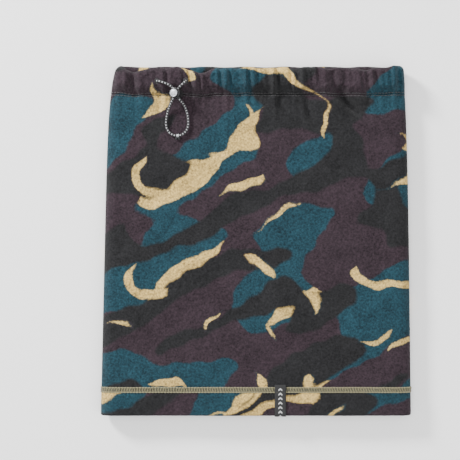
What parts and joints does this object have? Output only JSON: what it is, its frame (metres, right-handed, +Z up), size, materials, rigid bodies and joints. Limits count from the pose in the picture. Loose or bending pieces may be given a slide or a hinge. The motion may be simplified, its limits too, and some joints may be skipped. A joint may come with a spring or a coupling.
{
  "type": "neck gaiter",
  "caption": "Fleece tube worn round the neck and face in the cold, with a drawcord casing at one end, a spring cord lock on an elastic loop, and a flat-locked hem band.",
  "frame": {"origin": "under the middle of the tube laid flat on its back, on the surface it lies on", "axes": "+Y along the tube towards its drawcord end, +X to the wearer's left seen from the front face up, +Z up out of the front face"},
  "size_m": [0.2496, 0.2814, 0.0281],
  "materials": {
    "printed_fleece": "matte brushed fleece with a soft-edged camouflage print in teal, plum, charcoal and khaki",
    "hem_fleece": "matte brushed fleece, same print, doubled at the edge",
    "casing_fleece": "matte brushed fleece, same print, gathered on the cord",
    "pale_thread": "pale olive flat-lock thread",
    "dark_thread": "dark sewing thread",
    "eyelet_black": "matte black",
    "label_weave": "black damask weave with a plain woven chevron mark",
    "elastic_cord": "braided elastic cord, black with white tracer yarns",
    "crimp_metal": "bright crimped metal",
    "lock_black": "moulded satin black",
    "lock_silver": "metallised silver, slightly brushed",
    "spring_steel": "bright drawn wire"
  },
  "bodies": {
    "gaiter": {"front_panel": "printed_fleece", "front_hem_band": "hem_fleece", "front_casing": "casing_fleece", "front_hem_stitching": "pale_thread", "front_casing_stitch_upper": "dark_thread", "front_casing_stitch_lower": "dark_thread", "back_panel": "printed_fleece", "back_hem_band": "hem_fleece", "back_casing": "casing_fleece", "back_hem_stitching": "pale_thread", "back_casing_stitch_upper": "dark_thread", "back_casing_stitch_lower": "dark_thread", "side_seam_left": "dark_thread", "eyelet_left": "eyelet_black", "side_seam_right": "dark_thread", "eyelet_right": "eyelet_black", "hem_label": "label_weave", "drawcord_casing_run": "elastic_cord"},
    "cord_lock": {"lock_housing": "lock_black", "lock_spring": "spring_steel"},
    "loop_end": {"drawcord_loop": "elastic_cord", "loop_crimp": "crimp_metal"},
    "lock_button": {"lock_plunger": "lock_black", "lock_button_cap": "lock_silver"}
  },
  "joints": [
    {"name": "loop_lift", "type": "hinge", "parent": "gaiter", "child": "cord_lock", "pos_m": [-0.0675, 0.1276, 0.0197], "axis": [-1, 0, 0], "range_deg": [0, 130]},
    {"name": "cord_draw", "type": "slide", "parent": "cord_lock", "child": "loop_end", "axis": [0, -1, 0], "range_m": [0, 0.025], "deforming": ["drawcord_loop"]},
    {"name": "plunger_press", "type": "slide", "parent": "cord_lock", "child": "lock_button", "axis": [0.3746, 0, -0.9272], "range_m": [0, 0.0015], "stiffness_N_per_m": 600, "springref_m": -0.001, "deforming": ["lock_spring"]}
  ]
}
